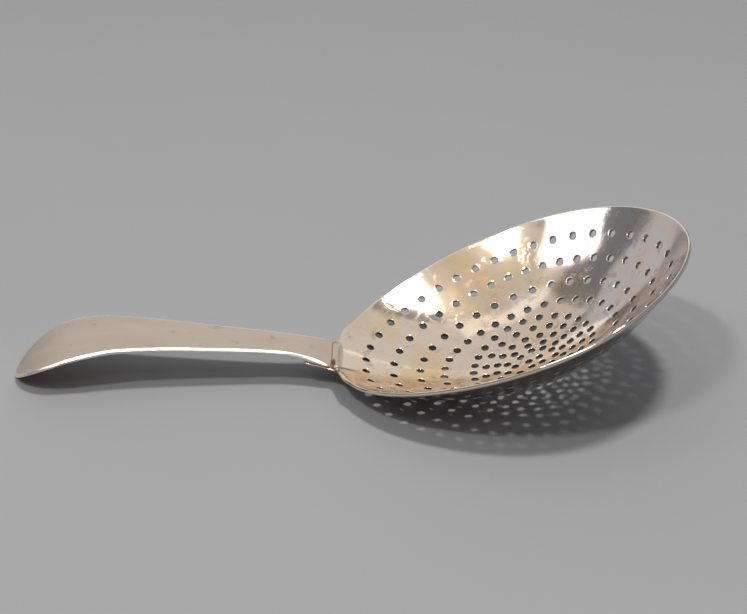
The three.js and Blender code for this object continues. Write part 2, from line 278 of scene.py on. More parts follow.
def spline_through(points, steps):
    """A smooth line through the points: on each stretch the cubic whose end slopes are half the
    step between the neighbours."""
    p = np.array(points, float)
    p = np.concatenate([p[:1], p, p[-1:]])
    at = np.linspace(0, len(points) - 1, steps)
    i = np.minimum(at.astype(int), len(points) - 2)
    t = (at - i)[:, None]
    a, b, c, d = p[i], p[i + 1], p[i + 2], p[i + 3]
    slope_b, slope_c = (c - a) / 2, (d - b) / 2
    return ((2 * b - 2 * c + slope_b + slope_c) * t ** 3
            + (3 * c - 3 * b - 2 * slope_b - slope_c) * t ** 2 + slope_b * t + b)


def strap_line():
    """Side view of the handle's upper face, from the tip to the bowl: an ellipse's arc, a
    parabola over the crest, and a spline down the neck. Gives x rising, and z."""
    neck = spline_through([LAP_END, *NECK_LINE, STRAIGHT_START], 160)
    straight = np.linspace(STRAIGHT_START, STRAIGHT_END, 40)[1:]
    t = np.linspace(0, 1, 60)[1:, None]
    control = np.array([STRAIGHT_END[0] - CREST_LEAD, CREST[1]])
    crest = ((1 - t) ** 2 * np.array(STRAIGHT_END) + 2 * t * (1 - t) * control
             + t ** 2 * np.array(CREST))
    angle = np.linspace(0, math.acos(1 - (CREST[1] - TIP_HEIGHT) / CURL_HALF_HEIGHT), 160)[1:]
    curl = np.stack([CREST[0] - CURL_HALF_LENGTH * np.sin(angle),
                     CREST[1] - CURL_HALF_HEIGHT * (1 - np.cos(angle))], -1)
    line = np.concatenate([neck, straight, crest, curl])[::-1] * MM
    return line[:, 0], line[:, 1]


def evenly(loop, steps):
    """The closed line again, with its points evenly spaced."""
    closed = np.concatenate([loop, loop[:1]])
    far = np.concatenate([[0], np.cumsum(np.hypot(*np.diff(closed, axis=0).T))])
    at = np.linspace(0, far[-1], steps, endpoint=False)
    return np.stack([np.interp(at, far, closed[:, k]) for k in (0, 1)], -1)


def inward(loop, distance):
    """The loop moved in by a distance, square to its own direction. The loop turns left."""
    along = np.roll(loop, -1, 0) - np.roll(loop, 1, 0)
    along /= np.hypot(*along.T)[:, None]
    return loop + distance * np.stack([-along[:, 1], along[:, 0]], -1)


def whole_outline(half, steps):
    """The closed outline of which half is given, from end to end along +y, evenly spaced. It
    turns left."""
    return evenly(np.concatenate([half, half[1:-1][::-1] * np.array([1, -1])]), steps)


def nearest(points, others):
    """Distance of each point to the nearest of the others."""
    return np.linalg.norm(points[:, None] - others[None], axis=-1).min(-1)


def room(points, width):
    """How far inside the outline the points lie, along y, where width(x) is its half width."""
    return width(points[:, 0]) - np.abs(points[:, 1])


def hexagonal_grid(low, high, pitch):
    """Points of a grid whose rows are shifted by half a step, between two corners."""
    rows = np.arange(low[1], high[1], pitch * math.sqrt(0.75))
    columns = np.arange(low[0], high[0], pitch)
    u, v = np.meshgrid(columns, rows)
    u = u + (np.arange(len(rows)) % 2)[:, None] * pitch / 2
    return np.stack([u.ravel(), v.ravel()], -1)


def flat_triangles(name, points, edges):
    """The points joined into triangles that turn left, with every edge kept: a constrained
    Delaunay triangulation, without its slivers."""
    _, _, faces, origins, _, _ = delaunay_2d_cdt(
        [Vector(p) for p in (points / MM).tolist()], edges.tolist(), [], 0, CDT_SNAP)
    counts = np.array(list(map(len, origins)))
    if (counts == 0).any():
        raise RuntimeError(f"{name}: two edges of the outline or of a hole cross")
    first = np.concatenate(origins)[np.cumsum(counts) - counts]
    tri = first[np.array(faces)]
    p = points[tri]
    turn = np.cross(p[:, 1] - p[:, 0], p[:, 2] - p[:, 0])
    tri[turn < 0] = tri[turn < 0][:, ::-1]
    return tri[np.abs(turn) > SLIVER]


def plate(name, points, drops, outline, holes, width, place, marks, bulge, profile):
    """A closed sheet of metal over a flat domain, whose half width at x is width(x). The domain's
    points (outline first, then each hole's circle) are joined into triangles once, and place
    carries them onto the upper and the under face. Walls join the two faces around each hole,
    and an edge joins them around the outline: profile gives its section as shares (out of
    bulge, up of half the thickness)."""
    count, total = len(outline), len(points)
    ring = np.arange(count)
    circles = [count + k * HOLE_STEPS + np.arange(HOLE_STEPS) for k in range(holes)]
    edges = np.concatenate([np.stack([loop, np.roll(loop, -1)], -1) for loop in [ring, *circles]])
    tri = flat_triangles(name, points, edges)
    owner = np.where(tri < count, -1, (tri - count) // HOLE_STEPS)
    in_hole = (owner >= 0).all(-1) & (owner < holes).all(-1) & (owner.min(-1) == owner.max(-1))
    tri = tri[(room(points[tri].mean(1), width) > 0) & ~in_hole]
    top, low = place(points, drops, False), place(points, drops, True)
    quads = [np.stack([loop, np.roll(loop, -1), np.roll(loop, -1) + total, loop + total], -1)
             for loop in circles]
    middle, half = (top[ring] + low[ring]) / 2, (top[ring] - low[ring]) / 2
    out = np.cross(np.roll(middle, -1, 0) - np.roll(middle, 1, 0), half)
    out *= np.reshape(bulge, (-1, 1)) / np.linalg.norm(out, axis=-1)[:, None]
    rows = [middle + half * lift + out * reach for reach, lift in profile]
    numbers = [ring] + [2 * total + k * count + ring for k in range(len(rows))] + [ring + total]
    for above, below in zip(numbers, numbers[1:]):
        quads.append(np.stack([above, below, np.roll(below, -1), np.roll(above, -1)], -1))
    # Edge rows below the middle of the sheet take the under face's marks, so a painted highlight
    # stays on the upper half and painted shade on the lower.
    mark = {key: np.concatenate([value(points, False), value(points, True)]
                                + [value(outline, lift < 0) for _, lift in profile])
            for key, value in marks.items()}
    faces = [tri, (tri + total)[:, ::-1], np.concatenate(quads)]
    return make_mesh(name, np.concatenate([top, low, *rows]), faces, mark)


def make_mesh(name, co, faces, marks):
    """A smooth mesh object at the origin, with float attributes, without its unused points."""
    used = np.zeros(len(co), bool)
    for face in faces:
        used[face.ravel()] = True
    number = np.cumsum(used) - 1
    co = co[used]
    sizes = np.concatenate([np.full(len(f), f.shape[1]) for f in faces])
    corners = np.concatenate([number[f].ravel() for f in faces])
    mesh = bpy.data.meshes.new(name)
    mesh.vertices.add(len(co))
    mesh.vertices.foreach_set("co", co.ravel())
    mesh.loops.add(len(corners))
    mesh.loops.foreach_set("vertex_index", corners)
    mesh.polygons.add(len(sizes))
    mesh.polygons.foreach_set("loop_start", np.concatenate([[0], np.cumsum(sizes)[:-1]]))
    mesh.polygons.foreach_set("loop_total", sizes)
    mesh.update(calc_edges=True)
    for key, value in marks.items():
        mesh.attributes.new(key, "FLOAT", "POINT").data.foreach_set("value", value[used])
    mesh.shade_smooth()
    mesh.validate()
    piece = bpy.data.objects.new(name, mesh)
    bpy.context.scene.collection.objects.link(piece)
    return piece


# ---------------- the bowl

def hole_centres(size):
    """Centres of the punched holes: each ring's even angles, drawn toward its flanks by
    crowd sin(2a) and toward the neck by lean sin(a)."""
    centres = []
    for rings, on_egg in ((EGG_RINGS, True), (ROUND_RINGS, False)):
        for scale, count, turn, crowd, lean in rings:
            even = 2 * np.pi * (np.arange(count) + turn) / count
            angle = even + crowd * np.sin(2 * even) + lean * np.sin(even)
            circle = scale * MM * np.stack([np.cos(angle), np.sin(angle)], -1)
            centres.append(rim_point(size, angle, scale) if on_egg else circle)
    return np.concatenate(centres)


def outline_half_width(size, u):
    """Half width of the bowl's blank at u: the rim's egg and the tab's flared tongue, joined as
    the root of the sum of their powers."""
    c = np.clip(u / (size.half_length * RIM_OUT), -1, 1)
    egg = RIM_OUT * rim_width(size, c) * np.sqrt(1 - c * c)
    reach = -u - size.half_length
    end = np.clip((reach - TAB_LENGTH + TAB_CORNER) / TAB_CORNER, 0, 1)
    past_root = np.maximum(reach + TAB_ROOT, -2 * TAB_ROOT)
    tab = TAB_HALF_WIDTH + TAB_FLARE * np.exp(-past_root / TAB_FLARE_REACH)
    tab = tab * smooth(reach, *TAB_GROWTH) * (1 - end ** 4) ** 0.25
    return ((egg / MM) ** FILLET_POWER + (tab / MM) ** FILLET_POWER) ** (1 / FILLET_POWER) * MM


def bowl_outline(size):
    """The blank's outline, turning left from the far end."""
    egg_u = RIM_OUT * size.half_length * np.cos(np.linspace(0, 2.75, 500))
    end = -size.half_length - TAB_LENGTH
    tab_u = end + (egg_u[-1] - end) * (0.5 + 0.5 * np.cos(np.linspace(0, np.pi, 400)))[1:]
    u = np.concatenate([egg_u, tab_u])
    v = outline_half_width(size, u)
    return whole_outline(np.stack([u, v], -1), RIM_STEPS)


def make_bowl(size):
    """The pierced bowl and its tab, from one flat domain: outline, hole circles with their lips,
    rows along the rim, and an even grid between."""
    outline, width = bowl_outline(size), partial(outline_half_width, size)
    centres = hole_centres(size)
    slope = slope_of(partial(bowl_floor, size), centres)
    steep = np.hypot(*slope.T)
    along = slope / np.maximum(steep, 1e-9)[:, None]
    across = np.stack([-along[:, 1], along[:, 0]], -1)
    turn = np.linspace(0, 2 * np.pi, HOLE_STEPS, endpoint=False)
    radii = [size.hole / 2 + size.lip * share for share in (*LIP_ROWS, OUTER_ROW)]
    drops = [size.lip * (1 - math.sqrt(1 - (1 - share) ** 2)) for share in LIP_ROWS] + [0.0]
    cos, sin = np.cos(turn)[None, :, None], np.sin(turn)[None, :, None]
    flat = along[:, None] / np.sqrt(1 + steep ** 2)[:, None, None]
    circles = [(centres[:, None] + r * (cos * flat + sin * across[:, None])).reshape(-1, 2)
               for r in radii]
    rows = [outline * (scale / RIM_OUT) for scale in RIM_ROWS]
    reach = size.half_length + TAB_LENGTH
    grid = hexagonal_grid((-reach, -size.half_width), (size.half_length, size.half_width),
                          BOWL_GRID)
    on_tab = grid[:, 0] < -NEAR_TAB * size.half_length
    in_tab = on_tab & (room(grid, width) > TAB_ROOM)
    grid = grid[(nearest(grid, centres) > size.hole / 2 + GRID_ROOM * size.lip)
                & ((rim_scale(size, grid) < GRID_END) | in_tab)]
    rows = np.concatenate(rows)
    crowded = nearest(rows, grid) < ROW_ROOM
    rows = rows[~(crowded & (rows[:, 0] < -NEAR_TAB * size.half_length))]
    points = np.concatenate([outline, *circles, rows, grid])
    counts = [len(outline), *map(len, circles), len(rows) + len(grid)]
    sink = np.repeat([0.0, *drops, 0.0], counts)
    ring = np.repeat([0, *range(1, len(circles) + 1), 0], counts)
    lip = np.where((ring > 0) & (ring <= 3), 1.0, 0.0)
    wall = np.where(ring == 1, 1.0, 0.0)

    # Bright rim and hole lips: partly rubbing, partly a painted highlight, which the rim has on its
    # upper face only.
    def wear_and_highlight_mark(p, under):
        rim = smooth(rim_scale(size, p), *RIM_WEAR_AND_HIGHLIGHT) * (0.0 if under else 1.0)
        rim = rim * smooth(p[:, 0] + size.half_length, *RIM_WEAR_AND_HIGHLIGHT_FROM)
        return np.maximum(rim, lip[:len(p)])

    # Painted shade: the hole walls are darkened.
    def hole_wall_shade_mark(p, under):
        return wall[:len(p)]

    # Painted shade: the bowl's under face, and the rim's edge below the middle of the sheet, carry
    # this mark for a dark colour.
    def outside_shade_mark(p, under):
        return np.full(len(p), float(under))

    marks = {"edge": wear_and_highlight_mark, "wall": hole_wall_shade_mark, "back": outside_shade_mark}
    return plate("pierced_bowl", points, sink, outline, len(centres), width,
                 partial(bowl_sheet, size), marks, RIM_BULGE, RIM_EDGE)


# ---------------- the handle

def handle_half_width(x):
    """Half width of the strap's flat face in plan: a spline along the flanks, then an ellipse."""
    line_x, _ = strap_line()
    end_x = line_x[0] / MM + END_LENGTH
    flank = spline_through([*HALF_WIDTHS, (end_x, END_HALF_WIDTH)], 400)[::-1] * MM
    width = np.interp(x, flank[:, 0], flank[:, 1]) - HANDLE_INSET
    past = np.clip((end_x * MM - x) / (END_LENGTH * MM - HANDLE_INSET), 0, 1)
    corner = np.clip((x - LAP_END[0] * MM + LAP_CORNER) / LAP_CORNER, 0, 1)
    return width * np.sqrt(1 - past ** 2) * (1 - corner ** 4) ** 0.25


def strap_place(size, p, drop, under):
    """A point of the strap. The upper face follows the top line, with three faint cross creases.
    The under face lies one thickness below it, square to it, and over the lap it is parallel to
    the tab."""
    line_x, line_z = strap_line()

    def height(q):
        return np.interp(q[..., 0], line_x, line_z)

    x, y = p[..., 0], p[..., 1]
    slope = slope_of(height, p, STRAP_STEP)[..., 0]
    root = np.sqrt(1 + slope ** 2)
    if not under:
        crease = sum(depth * np.exp(-((x - at - lean * y) / wide) ** 2)
                     for at, lean, wide, depth in strap_creases(size))
        return np.stack([x, y, height(p) - crease], -1)
    thick = STRAP_AT_TIP + (size.strap - STRAP_AT_TIP) * smooth(x, line_x[0], CREST[0] * MM)
    lap = smooth(x, *LAP_STARTS)
    shifted = x + slope / root * thick * (1 - lap)
    q = np.stack([shifted, y], -1)
    slope_there = slope_of(height, q, STRAP_STEP)[..., 0]
    sunk = height(q) - thick * np.sqrt(1 + slope_there ** 2)
    z = sunk * (1 - lap) + over_tab(size, shifted, LAP_GAP) * lap
    return np.stack([shifted, y, np.maximum(z, STRAP_FLAT_Z)], -1)


def strap_creases(size):
    """Cross creases of the strap: (x, lean, half width, depth)."""
    d = size.crease
    return ((-69.5 * MM, 0.05, 0.55 * MM, d), (-56.8 * MM, -0.12, 0.4 * MM, 0.7 * d),
            (-76.5 * MM, 0.2, 0.5 * MM, 0.5 * d))


def make_handle(size):
    """The strap, from one flat domain: its plan outline, rows inside it and an even grid."""
    line_x, _ = strap_line()
    start = line_x[-1]
    near = start - LAP_CORNER * (0.5 - 0.5 * np.cos(np.linspace(0, np.pi / 2, 60)))
    far_angle = np.linspace(0, np.pi / 2, 200)
    long = END_LENGTH * MM - HANDLE_INSET
    far = line_x[0] + END_LENGTH * MM - long * np.sin(far_angle)
    x = np.concatenate([near, np.linspace(near[-1], far[0], 600)[1:-1], far])
    half = np.stack([x, handle_half_width(x)], -1)
    half[0, 1] = half[-1, 1] = 0
    outline = whole_outline(half, HANDLE_STEPS)
    rows = np.concatenate([inward(outline, d * MM) for d in HANDLE_ROWS])
    widest = END_HALF_WIDTH * MM
    grid = hexagonal_grid((line_x[0], -widest), (start, widest), HANDLE_GRID)
    grid = grid[(room(grid, handle_half_width) > 0) & (nearest(grid, outline) > STRAP_GRID_ROOM)]
    rows = rows[room(rows, handle_half_width) > 0.05 * MM]
    points = np.concatenate([outline, rows, grid])

    # Rubbed edge with a painted highlight, stronger on the upper face than on the under face.
    def wear_and_highlight_mark(p, under):
        gap = nearest(p, outline)
        off_lap = 1 - smooth(p[:, 0] - start, *WEAR_AND_HIGHLIGHT_ENDS)
        return np.exp(-gap / WEAR_AND_HIGHLIGHT_DEPTH) * (0.5 if under else 0.9) * off_lap

    bulge = HANDLE_INSET * (1 - BLUNT_SHARE * smooth(outline[:, 0] - start, *BLUNT_ENDS))
    return plate("strap_handle", points, np.zeros(len(points)), outline, 0, handle_half_width,
                 partial(strap_place, size), {"edge": wear_and_highlight_mark}, bulge, FILED_EDGE)


# ---------------- the solder

def make_solder(size):
    """The film in the lap with its thick end: a small plate whose upper face is parallel to the
    tab, climbs at the handle's end to its top line, and falls from there as (1 - t)^2 (1 + 0.3 t)
    to the bowl's wall, just past the lip."""
    lip = to_table(np.array([-size.half_length, 0.0, NECK_RISE]))
    tab_end = (-size.half_length - TAB_LENGTH, 0, NECK_RISE + TAB_SLOPE * TAB_LENGTH)
    start = to_table(np.array(tab_end))[0] + MM
    end = lip[0] + SEAM_REACH
    low_handle = LAP_END[0] * MM + JOINT_GAP
    high = LAP_END[1] * MM - JOINT_GAP
    inset, half = SOLDER_INSET, SOLDER_HALF_WIDTH
    wide = handle_half_width(np.array([LAP_END[0] * MM - LAP_CORNER]))[0]

    def wall_height(x, y):
        """Height over the table of the bowl's wall, or of its flat lip, straight above (x, y)."""
        u = (x - RIM_CENTRE[0]) * math.cos(RIM_PITCH)
        for _ in range(6):
            p = np.stack([u, y], -1)
            w = np.minimum(bowl_floor(size, p), neck_rise(size, p))
            u = (x - RIM_CENTRE[0] + w * math.sin(RIM_PITCH)) / math.cos(RIM_PITCH)
        return RIM_CENTRE[2] + u * math.sin(RIM_PITCH) + w * math.cos(RIM_PITCH)

    def width(x):
        near = np.clip((start + inset + MM - x) / MM, 0, 1)
        far = np.clip((x - low_handle) / (end - inset - low_handle), 0, 1)
        open_out = half + (wide - half) * smooth(x, low_handle - 2.5 * MM, low_handle)
        return (open_out - inset) * (1 - near ** 4) ** 0.25 * (1 - far ** 6) ** (1 / 3)
    x = start + inset + (end - start - 2 * inset) * (0.5 - 0.5 * np.cos(np.linspace(0, np.pi, 400)))
    side = np.stack([x[::-1], width(x[::-1])], -1)
    side[0, 1] = side[-1, 1] = 0
    outline = whole_outline(side, SOLDER_STEPS)
    grid = hexagonal_grid((start, -half), (end, half), SOLDER_GRID)
    grid = grid[(nearest(grid, outline) > SOLDER_GRID_ROOM) & (room(grid, width) > 0)]
    points = np.concatenate([outline, grid])

    def place(p, drop, under):
        x, y = p[..., 0], p[..., 1]
        if under:
            base = over_tab(size, np.minimum(x, lip[0] - LIP_GAP), JOINT_GAP)
            past = smooth(x, lip[0] - LIP_GAP, lip[0])
            wall = wall_height(x, y) - SOLDER_SINK
            return np.stack([x, y, base * (1 - past) + wall * past], -1)
        film = over_tab(size, x, SOLDER_FILM + JOINT_GAP)
        far_end = wall_height(x, y)
        t = np.clip((x - low_handle) / (end - low_handle), 0, 1)
        skin = far_end + (high - wall_height(low_handle + 0 * x, y)) * (1 - t) ** 2 * (1 + 0.3 * t)
        rise = smooth(x, low_handle - 0.05 * MM, low_handle + 0.1 * MM)
        return np.stack([x, y, film * (1 - rise) + skin * rise], -1)
    return plate("solder_bead", points, np.zeros(len(points)), outline, 0, width, place, {},
                 SOLDER_BULGE, ROUND_EDGE)


# ---------------- shader groups

def new_group(name, inputs, outputs):
    """An empty shader group with its sockets, and the nodes that stand for them."""
    tree = bpy.data.node_groups.new(name, "ShaderNodeTree")
    for key, value in inputs.items():
        kind = "NodeSocketFloat" if isinstance(value, float) else "NodeSocketVector"
        made = tree.interface.new_socket(name=key, in_out="INPUT", socket_type=kind)
        if value is not None:
            made.default_value = value
    for key in outputs:
        tree.interface.new_socket(name=key, in_out="OUTPUT", socket_type="NodeSocketFloat")
    return tree, tree.nodes.new("NodeGroupInput").outputs, tree.nodes.new("NodeGroupOutput").inputs


def give(tree, socket, value):
    """Link the value to the socket if it is another socket, or set it there."""
    if isinstance(value, bpy.types.NodeSocket):
        tree.links.new(value, socket)
    else:
        socket.default_value = value


def node(tree, kind, inputs=(), **settings):
    made = tree.nodes.new(kind)
    for key, value in settings.items():
        setattr(made, key, value)
    for key, value in dict(inputs).items():
        give(tree, made.inputs[key], value)
    return made


def maths(tree, operation, a, b=0.0, c=0.0, clamp=False):
    made = node(tree, "ShaderNodeMath", {0: a, 1: b, 2: c}, operation=operation, use_clamp=clamp)
    return made.outputs[0]


def ramp_between(tree, value, low, high):
    """Zero at low and one at high, smooth between."""
    made = node(tree, "ShaderNodeMapRange", {"Value": value, "From Min": low, "From Max": high},
                interpolation_type="SMOOTHSTEP")
    return made.outputs["Result"]


def blend(tree, factor, a, b):
    """Colour b over colour a, by factor. The mix node's colours are its sockets 6, 7 and 2."""
    made = node(tree, "ShaderNodeMix", data_type="RGBA")
    for index, value in ((0, factor), (6, a), (7, b)):
        give(tree, made.inputs[index], value)
    return made.outputs[2]


def cloud_group():
    """Soft patches: noise at Scale, moved by Shift and stretched by Stretch, cut between Low
    and High."""
    tree, given, out = new_group("toning_patches", {
        "Vector": None, "Scale": 60.0, "Shift": (0, 0, 0), "Stretch": (1, 1, 1), "Low": 0.45,
        "High": 0.65}, ["Mask"])
    moved = node(tree, "ShaderNodeMapping", {
        "Vector": given["Vector"], "Location": given["Shift"], "Scale": given["Stretch"]})
    noise = node(tree, "ShaderNodeTexNoise", {
        "Vector": moved.outputs[0], "Scale": given["Scale"], "Detail": 5.0, "Roughness": 0.55,
        "Distortion": 0.4})
    mask = ramp_between(tree, noise.outputs["Fac"], given["Low"], given["High"])
    tree.links.new(mask, out["Mask"])
    return tree


def scratch_group():
    """Fine scratches: thin bright lines where stretched noise passes through its middle value,
    in a direction given by Turn, kept to patches. Grain is the stretched noise itself."""
    tree, given, out = new_group("fine_scratches", {
        "Vector": None, "Turn": (0, 0, 0), "Scale": 900.0, "Length": 0.03, "Width": 0.02},
        ["Line", "Grain"])
    turned = node(tree, "ShaderNodeMapping", {"Vector": given["Vector"], "Rotation": given["Turn"]})
    stretch = node(tree, "ShaderNodeCombineXYZ", {"X": given["Length"], "Y": 1.0, "Z": 1.0})
    long = node(tree, "ShaderNodeVectorMath", {0: turned.outputs[0], 1: stretch.outputs[0]},
                operation="MULTIPLY")
    noise = node(tree, "ShaderNodeTexNoise", {
        "Vector": long.outputs[0], "Scale": given["Scale"], "Detail": 3.0, "Roughness": 0.6,
        "Distortion": 0.0})
    off = maths(tree, "ABSOLUTE", maths(tree, "SUBTRACT", noise.outputs["Fac"], 0.5))
    line = maths(tree, "SUBTRACT", 1.0, maths(tree, "DIVIDE", off, given["Width"]), clamp=True)
    patches = node(tree, "ShaderNodeTexNoise", {
        "Vector": turned.outputs[0], "Scale": 140.0, "Detail": 2.0})
    kept = ramp_between(tree, patches.outputs["Fac"], 0.5, 0.62)
    tree.links.new(maths(tree, "MULTIPLY", line, kept), out["Line"])
    tree.links.new(noise.outputs["Fac"], out["Grain"])
    return tree


def wear_and_highlight_group():
    """Edge wear and painted highlight: the piece's edge mark, broken up by a little noise, times
    Amount.
    """
    tree, given, out = new_group("rubbed_edges_and_highlight", {"Vector": None, "Amount": 1.0}, ["Mask"])
    mark = node(tree, "ShaderNodeAttribute", attribute_name="edge").outputs["Fac"]
    noise = node(tree, "ShaderNodeTexNoise", {
        "Vector": given["Vector"], "Scale": 420.0, "Detail": 3.0})
    broken = maths(tree, "MULTIPLY", maths(tree, "SUBTRACT", noise.outputs["Fac"], 0.5), 0.5)
    both = maths(tree, "ADD", mark, maths(tree, "MULTIPLY", broken, mark))
    mask = maths(tree, "MULTIPLY", ramp_between(tree, both, 0.1, 0.8), given["Amount"])
    tree.links.new(mask, out["Mask"])
    return tree


def place_group(tree, name, build, inputs):
    """The named group with its own values, built the first time that it is asked for."""
    made = tree.nodes.new("ShaderNodeGroup")
    made.node_tree = bpy.data.node_groups.get(name) or build()
    for key, value in inputs.items():
        give(tree, made.inputs[key], value)
    return made.outputs


def patches(tree, coords, scale, low, high, shift=(0, 0, 0), stretch=(1, 1, 1)):
    return place_group(tree, "toning_patches", cloud_group, {
        "Vector": coords, "Scale": scale, "Low": low, "High": high, "Shift": shift,
        "Stretch": stretch})["Mask"]


def scratches(tree, coords, turn, scale, long, width):
    return place_group(tree, "fine_scratches", scratch_group, {
        "Vector": coords, "Turn": (0, 0, turn), "Scale": scale, "Length": long, "Width": width})


def rubbed_and_highlight(tree, coords, amount):
    return place_group(tree, "rubbed_edges_and_highlight", wear_and_highlight_group, {
        "Vector": coords, "Amount": amount})["Mask"]


def new_material(name):
    material = bpy.data.materials.new(name)
    material.use_nodes = True
    tree = material.node_tree
    tree.nodes.clear()
    shader = node(tree, "ShaderNodeBsdfPrincipled")
    out = node(tree, "ShaderNodeOutputMaterial")
    tree.links.new(shader.outputs[0], out.inputs["Surface"])
    coords = node(tree, "ShaderNodeTexCoord").outputs["Object"]
    return material, tree, shader, coords


def rgba(colour):
    return (*colour, 1.0)


def bump(tree, strength, distance, height, normal=None, sunk=False):
    """A bump of the height over another bump, or a cut of it when sunk."""
    inputs = {"Strength": strength, "Distance": distance, "Height": height}
    if normal is not None:
        inputs["Normal"] = normal
    return node(tree, "ShaderNodeBump", inputs, invert=sunk).outputs[0]


def enter_metal(tree, shader, colour, rough, normal):
    """Enter a bare metal's colour, roughness and normal in its shader."""
    shader.inputs["Metallic"].default_value = 1.0
    for key, value in (("Base Color", colour), ("Roughness", rough), ("Normal", normal)):
        tree.links.new(value, shader.inputs[key])


def patch_about(tree, coords, centre, reach):
    """One near the centre and nothing past reach, which is given along x, y and z."""
    kind = "ShaderNodeVectorMath"
    away = node(tree, kind, {0: coords, 1: centre}, operation="SUBTRACT").outputs[0]
    part = node(tree, kind, {0: away, 1: reach}, operation="DIVIDE").outputs[0]
    far = node(tree, kind, {0: part}, operation="LENGTH").outputs["Value"]
    return maths(tree, "SUBTRACT", 1.0, ramp_between(tree, far, 0.35, 1.0))


def bowl_silver(look):
    """Worn polished silver: straw and pink toning in clouds, a golden patch that is partly toning
    and partly a painted warm reflection, greyer toward the far end as a painted cool reflection,
    scratches both ways, a soft unevenness from the hammer, painted shade in the holes and on the
    outside, and a bright filed rim, partly rubbed and partly a painted highlight."""
    material, tree, shader, coords = new_material("worn_polished_silver")
    parts = node(tree, "ShaderNodeSeparateXYZ", {0: coords})
    far = ramp_between(tree, parts.outputs["X"], 0.035, 0.075)
    straw = patches(tree, coords, 48.0, 0.44, 0.68, shift=(0.013, 0, 0))
    rose = patches(tree, coords, 70.0, 0.48, 0.7, shift=(0.05, 0.02, 0))
    grime = patches(tree, coords, 240.0, 0.56, 0.74, shift=(0, 0.03, 0))
    near = maths(tree, "SUBTRACT", 1.0, far)
    # Painted cool reflection: the silver turns greyer toward the far end.
    colour = blend(tree, far, rgba(look.silver), rgba(look.far_end_cool_reflection))
    straw_share = maths(tree, "MULTIPLY", straw, maths(tree, "MULTIPLY_ADD", near, 0.6, 0.25))
    colour = blend(tree, straw_share, colour, rgba(look.straw))
    colour = blend(tree, maths(tree, "MULTIPLY", rose, 0.45), colour, rgba(look.rose))
    # Painted warm reflection together with toning: a golden patch high on the far wall.
    gold_toning_and_reflection = patch_about(tree, coords, GOLD_REFLECTION_PLACE, GOLD_REFLECTION_REACH)
    gold_toning_and_reflection = maths(tree, "MULTIPLY", gold_toning_and_reflection, maths(tree, "MULTIPLY_ADD", straw, 0.6, 0.4))
    colour = blend(tree, gold_toning_and_reflection, colour, rgba(look.gold_toning_and_reflection))
    colour = blend(tree, maths(tree, "MULTIPLY", grime, 0.35), colour, rgba(look.grime))
    # Rubbed edges, brightened also as a painted highlight.
    worn_and_highlight = rubbed_and_highlight(tree, coords, 0.85)
    colour = blend(tree, worn_and_highlight, colour, rgba(look.bright))
    # Painted shade on the outside of the bowl.
    back = node(tree, "ShaderNodeAttribute", attribute_name="back").outputs["Fac"]
    back = maths(tree, "MULTIPLY", back, maths(tree, "MULTIPLY_ADD", rose, -0.3, 0.8))
    colour = blend(tree, back, colour, rgba(look.back))
    # Painted shade in the hole walls.
    wall = node(tree, "ShaderNodeAttribute", attribute_name="wall").outputs["Fac"]
    colour = blend(tree, maths(tree, "MULTIPLY", wall, 0.75), colour, rgba(look.grime))
    one = scratches(tree, coords, 0.5, 800.0, 0.04, 0.03)
    two = scratches(tree, coords, -0.9, 650.0, 0.05, 0.03)
    lines = maths(tree, "MAXIMUM", one["Line"], two["Line"])
    rough = maths(tree, "MULTIPLY_ADD", straw, 0.05, look.bowl_gloss)
    rough = maths(tree, "ADD", rough, maths(tree, "MULTIPLY", lines, 0.05))
    rough = maths(tree, "ADD", rough, maths(tree, "MULTIPLY", grime, 0.08))
    rough = maths(tree, "SUBTRACT", rough, maths(tree, "MULTIPLY", worn_and_highlight, 0.05))
    hammer = node(tree, "ShaderNodeTexNoise", {"Vector": coords, "Scale": 85.0, "Detail": 2.0})
    dents = bump(tree, 0.24, 0.6 * MM, hammer.outputs["Fac"])
    enter_metal(tree, shader, colour, rough, bump(tree, 0.12, 0.05 * MM, lines, dents, sunk=True))
    return material


def handle_silver(look):
    """Satin silver: lengthwise grain, warm grey toning in long clouds, marks, rubbed edges that
    also carry a painted highlight, stronger on the upper face.
    """
    material, tree, shader, coords = new_material("satin_toned_silver")
    cloud = patches(tree, coords, 60.0, 0.4, 0.7, stretch=(0.5, 1.2, 1.0))
    spots = patches(tree, coords, 300.0, 0.6, 0.78, shift=(0.01, 0, 0.02))
    grain = scratches(tree, coords, 0.03, 2400.0, 0.02, 0.05)
    marks = scratches(tree, coords, 1.1, 700.0, 0.08, 0.02)
    colour = blend(tree, cloud, rgba(look.handle), rgba(look.handle_dark))
    colour = blend(tree, maths(tree, "MULTIPLY", grain["Grain"], 0.35), colour, rgba(look.rose))
    colour = blend(tree, maths(tree, "MULTIPLY", spots, 0.35), colour, rgba(look.grime))
    # Rubbed edges, brightened also as a painted highlight.
    worn_and_highlight = rubbed_and_highlight(tree, coords, 0.9)
    colour = blend(tree, worn_and_highlight, colour, rgba(look.bright))
    rough = maths(tree, "MULTIPLY_ADD", grain["Grain"], 0.16, look.handle_gloss)
    rough = maths(tree, "ADD", rough, maths(tree, "MULTIPLY", marks["Line"], 0.1))
    rough = maths(tree, "SUBTRACT", rough, maths(tree, "MULTIPLY", worn_and_highlight, 0.14))
    wave = node(tree, "ShaderNodeTexNoise", {"Vector": coords, "Scale": 60.0, "Detail": 2.0})
    waves = bump(tree, 0.2, 0.6 * MM, wave.outputs["Fac"])
    brushed = bump(tree, 0.25, 0.04 * MM, grain["Grain"], waves)
    cut = bump(tree, 0.3, 0.06 * MM, marks["Line"], brushed, sunk=True)
    enter_metal(tree, shader, colour, rough, cut)
    return material


